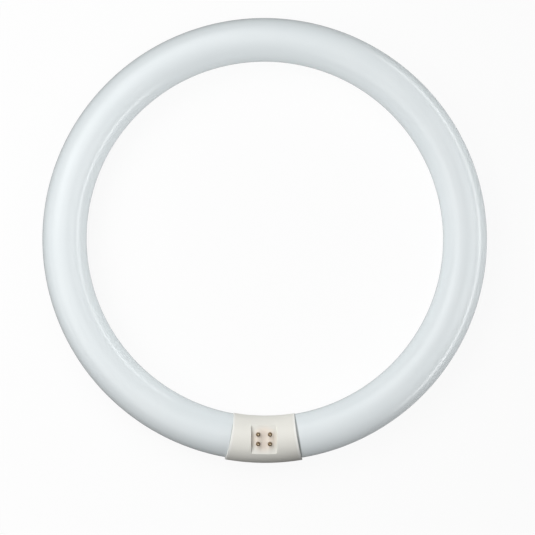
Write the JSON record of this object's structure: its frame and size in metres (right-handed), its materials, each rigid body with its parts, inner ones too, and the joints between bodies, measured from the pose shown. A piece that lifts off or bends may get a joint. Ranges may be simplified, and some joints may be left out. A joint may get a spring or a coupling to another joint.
{
  "type": "circular fluorescent tube",
  "caption": "Ring-shaped fluorescent lamp: a white coated glass tube bent to a full circle, closed by a moulded two-part cap with a recessed well of contact pins.",
  "frame": {"origin": "on the ring's axis, in the plane of the surface that the lamp lies on, below the middle of the ring", "axes": "+Z is the ring's axis and points the way the contact pins point; the cap is at -Y; X runs across the cap"},
  "size_m": [0.305, 0.3064, 0.0348],
  "materials": {
    "coated_glass": "clear glass over an opaque white coating, glossy",
    "cap_plastic": "cream moulded plastic, satin",
    "pin_brass": "turned brass, slightly dulled",
    "lead_wire": "drawn nickel-iron wire"
  },
  "bodies": {
    "root": {"glass_tube": "coated_glass", "cap_front": "cap_plastic", "cap_rear": "cap_plastic", "contact_pin_1": "pin_brass", "contact_pin_2": "pin_brass", "contact_pin_3": "pin_brass", "contact_pin_4": "pin_brass", "lead_wire_1": "lead_wire", "lead_wire_2": "lead_wire", "lead_wire_3": "lead_wire", "lead_wire_4": "lead_wire"}
  },
  "joints": []
}
